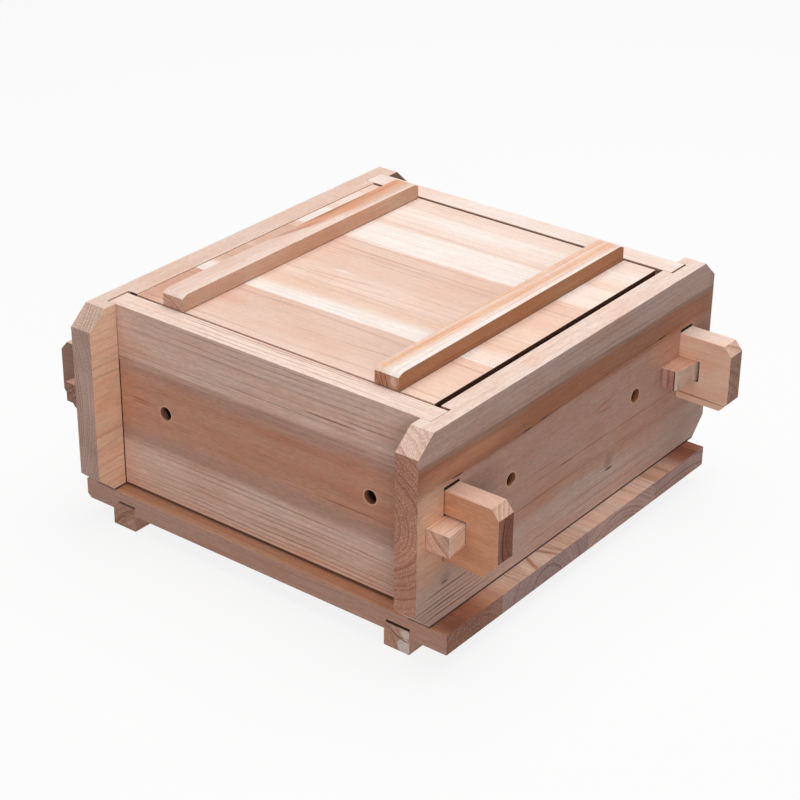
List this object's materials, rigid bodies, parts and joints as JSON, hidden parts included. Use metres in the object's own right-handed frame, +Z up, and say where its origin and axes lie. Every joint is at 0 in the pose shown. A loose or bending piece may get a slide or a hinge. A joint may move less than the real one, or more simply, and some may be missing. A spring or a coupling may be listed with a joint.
{
  "type": "tofu mold",
  "caption": "Wooden tofu mold: a knock-down frame of keyed boards with drain holes, standing loose on a planked base with runners, and a battened press lid that sinks inside it.",
  "frame": {"origin": "under the middle of the frame, on the surface that the runners stand on", "axes": "+X to the right along the front board, +Y from front to back along the side boards, +Z up"},
  "size_m": [0.384, 0.355, 0.1823],
  "materials": {
    "fir_cross_boards": "planed, bare",
    "fir_side_boards": "planed, bare",
    "fir_keys": "sawn and eased, bare",
    "fir_lid_planks": "planed, bare",
    "fir_battens": "planed, bare",
    "fir_base_planks": "planed, bare",
    "fir_runners": "sawn, bare",
    "wooden_pins": "split and rounded, bare"
  },
  "bodies": {
    "base": {"base_front_plank": "fir_base_planks", "base_second_plank": "fir_base_planks", "base_third_plank": "fir_base_planks", "base_back_plank": "fir_base_planks", "base_left_runner": "fir_runners", "base_right_runner": "fir_runners", "base_pins": "wooden_pins"},
    "frame": {"front_board": "fir_cross_boards", "back_board": "fir_cross_boards", "left_side_board": "fir_side_boards", "right_side_board": "fir_side_boards"},
    "press_lid": {"lid_front_plank": "fir_lid_planks", "lid_back_plank": "fir_lid_planks", "lid_left_batten": "fir_battens", "lid_right_batten": "fir_battens", "lid_pins": "wooden_pins"},
    "front_left_key": {"front_left_key": "fir_keys"},
    "front_right_key": {"front_right_key": "fir_keys"},
    "back_left_key": {"back_left_key": "fir_keys"},
    "back_right_key": {"back_right_key": "fir_keys"}
  },
  "joints": [
    {"name": "frame_lift", "type": "slide", "parent": "base", "child": "frame", "axis": [0, 0, 1], "range_m": [0, 0.15]},
    {"name": "lid_press", "type": "slide", "parent": "frame", "child": "press_lid", "axis": [0, 0, 1], "range_m": [-0.125, 0.04]},
    {"name": "front_left_key_draw", "type": "slide", "parent": "frame", "child": "front_left_key", "axis": [0, -1, 0], "range_m": [0, 0.05]},
    {"name": "front_right_key_draw", "type": "slide", "parent": "frame", "child": "front_right_key", "axis": [0, -1, 0], "range_m": [0, 0.05]},
    {"name": "back_left_key_draw", "type": "slide", "parent": "frame", "child": "back_left_key", "axis": [0, 1, 0], "range_m": [0, 0.05]},
    {"name": "back_right_key_draw", "type": "slide", "parent": "frame", "child": "back_right_key", "axis": [0, 1, 0], "range_m": [0, 0.05]}
  ]
}
